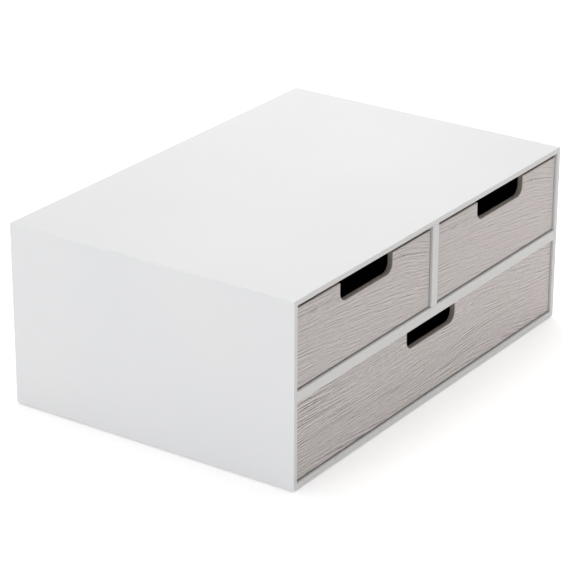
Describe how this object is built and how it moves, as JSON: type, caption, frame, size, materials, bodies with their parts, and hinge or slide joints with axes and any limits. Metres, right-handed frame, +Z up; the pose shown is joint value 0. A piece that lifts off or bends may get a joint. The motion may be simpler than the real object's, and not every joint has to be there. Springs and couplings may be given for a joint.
{
  "type": "desk organizer",
  "caption": "Low white desktop drawer unit: small drawers side by side above a wide drawer, with wood-grain fronts and rounded finger cutouts.",
  "frame": {"origin": "on the desk, under the middle of the casing, in the plane of the undersides of the pads", "axes": "+X to the right as seen from the front, -Y out of the front, +Z up"},
  "size_m": [0.32, 0.217, 0.126],
  "materials": {
    "white_foil": "thin board wrapped in smooth matte white foil",
    "ash_grain": "greige ash-look board with an embossed grain, matte",
    "dark_board": "matte charcoal board",
    "rubber_pad": "matte rubber"
  },
  "bodies": {
    "casing": {"top_panel": "white_foil", "bottom_panel": "white_foil", "left_side_panel": "white_foil", "right_side_panel": "white_foil", "back_panel": "white_foil", "middle_shelf": "white_foil", "centre_divider": "white_foil", "pad_front_left": "rubber_pad", "pad_front_right": "rubber_pad", "pad_rear_left": "rubber_pad", "pad_rear_right": "rubber_pad"},
    "upper_left_drawer": {"upper_left_drawer_front": "ash_grain", "upper_left_drawer_left_side": "dark_board", "upper_left_drawer_right_side": "dark_board", "upper_left_drawer_back": "dark_board", "upper_left_drawer_floor": "dark_board"},
    "upper_right_drawer": {"upper_right_drawer_front": "ash_grain", "upper_right_drawer_left_side": "dark_board", "upper_right_drawer_right_side": "dark_board", "upper_right_drawer_back": "dark_board", "upper_right_drawer_floor": "dark_board"},
    "lower_drawer": {"lower_drawer_front": "ash_grain", "lower_drawer_left_side": "dark_board", "lower_drawer_right_side": "dark_board", "lower_drawer_back": "dark_board", "lower_drawer_floor": "dark_board"}
  },
  "joints": [
    {"name": "upper_left_drawer_slide", "type": "slide", "parent": "casing", "child": "upper_left_drawer", "axis": [0, -1, 0], "range_m": [0, 0.15]},
    {"name": "upper_right_drawer_slide", "type": "slide", "parent": "casing", "child": "upper_right_drawer", "axis": [0, -1, 0], "range_m": [0, 0.15]},
    {"name": "lower_drawer_slide", "type": "slide", "parent": "casing", "child": "lower_drawer", "axis": [0, -1, 0], "range_m": [0, 0.15]}
  ]
}
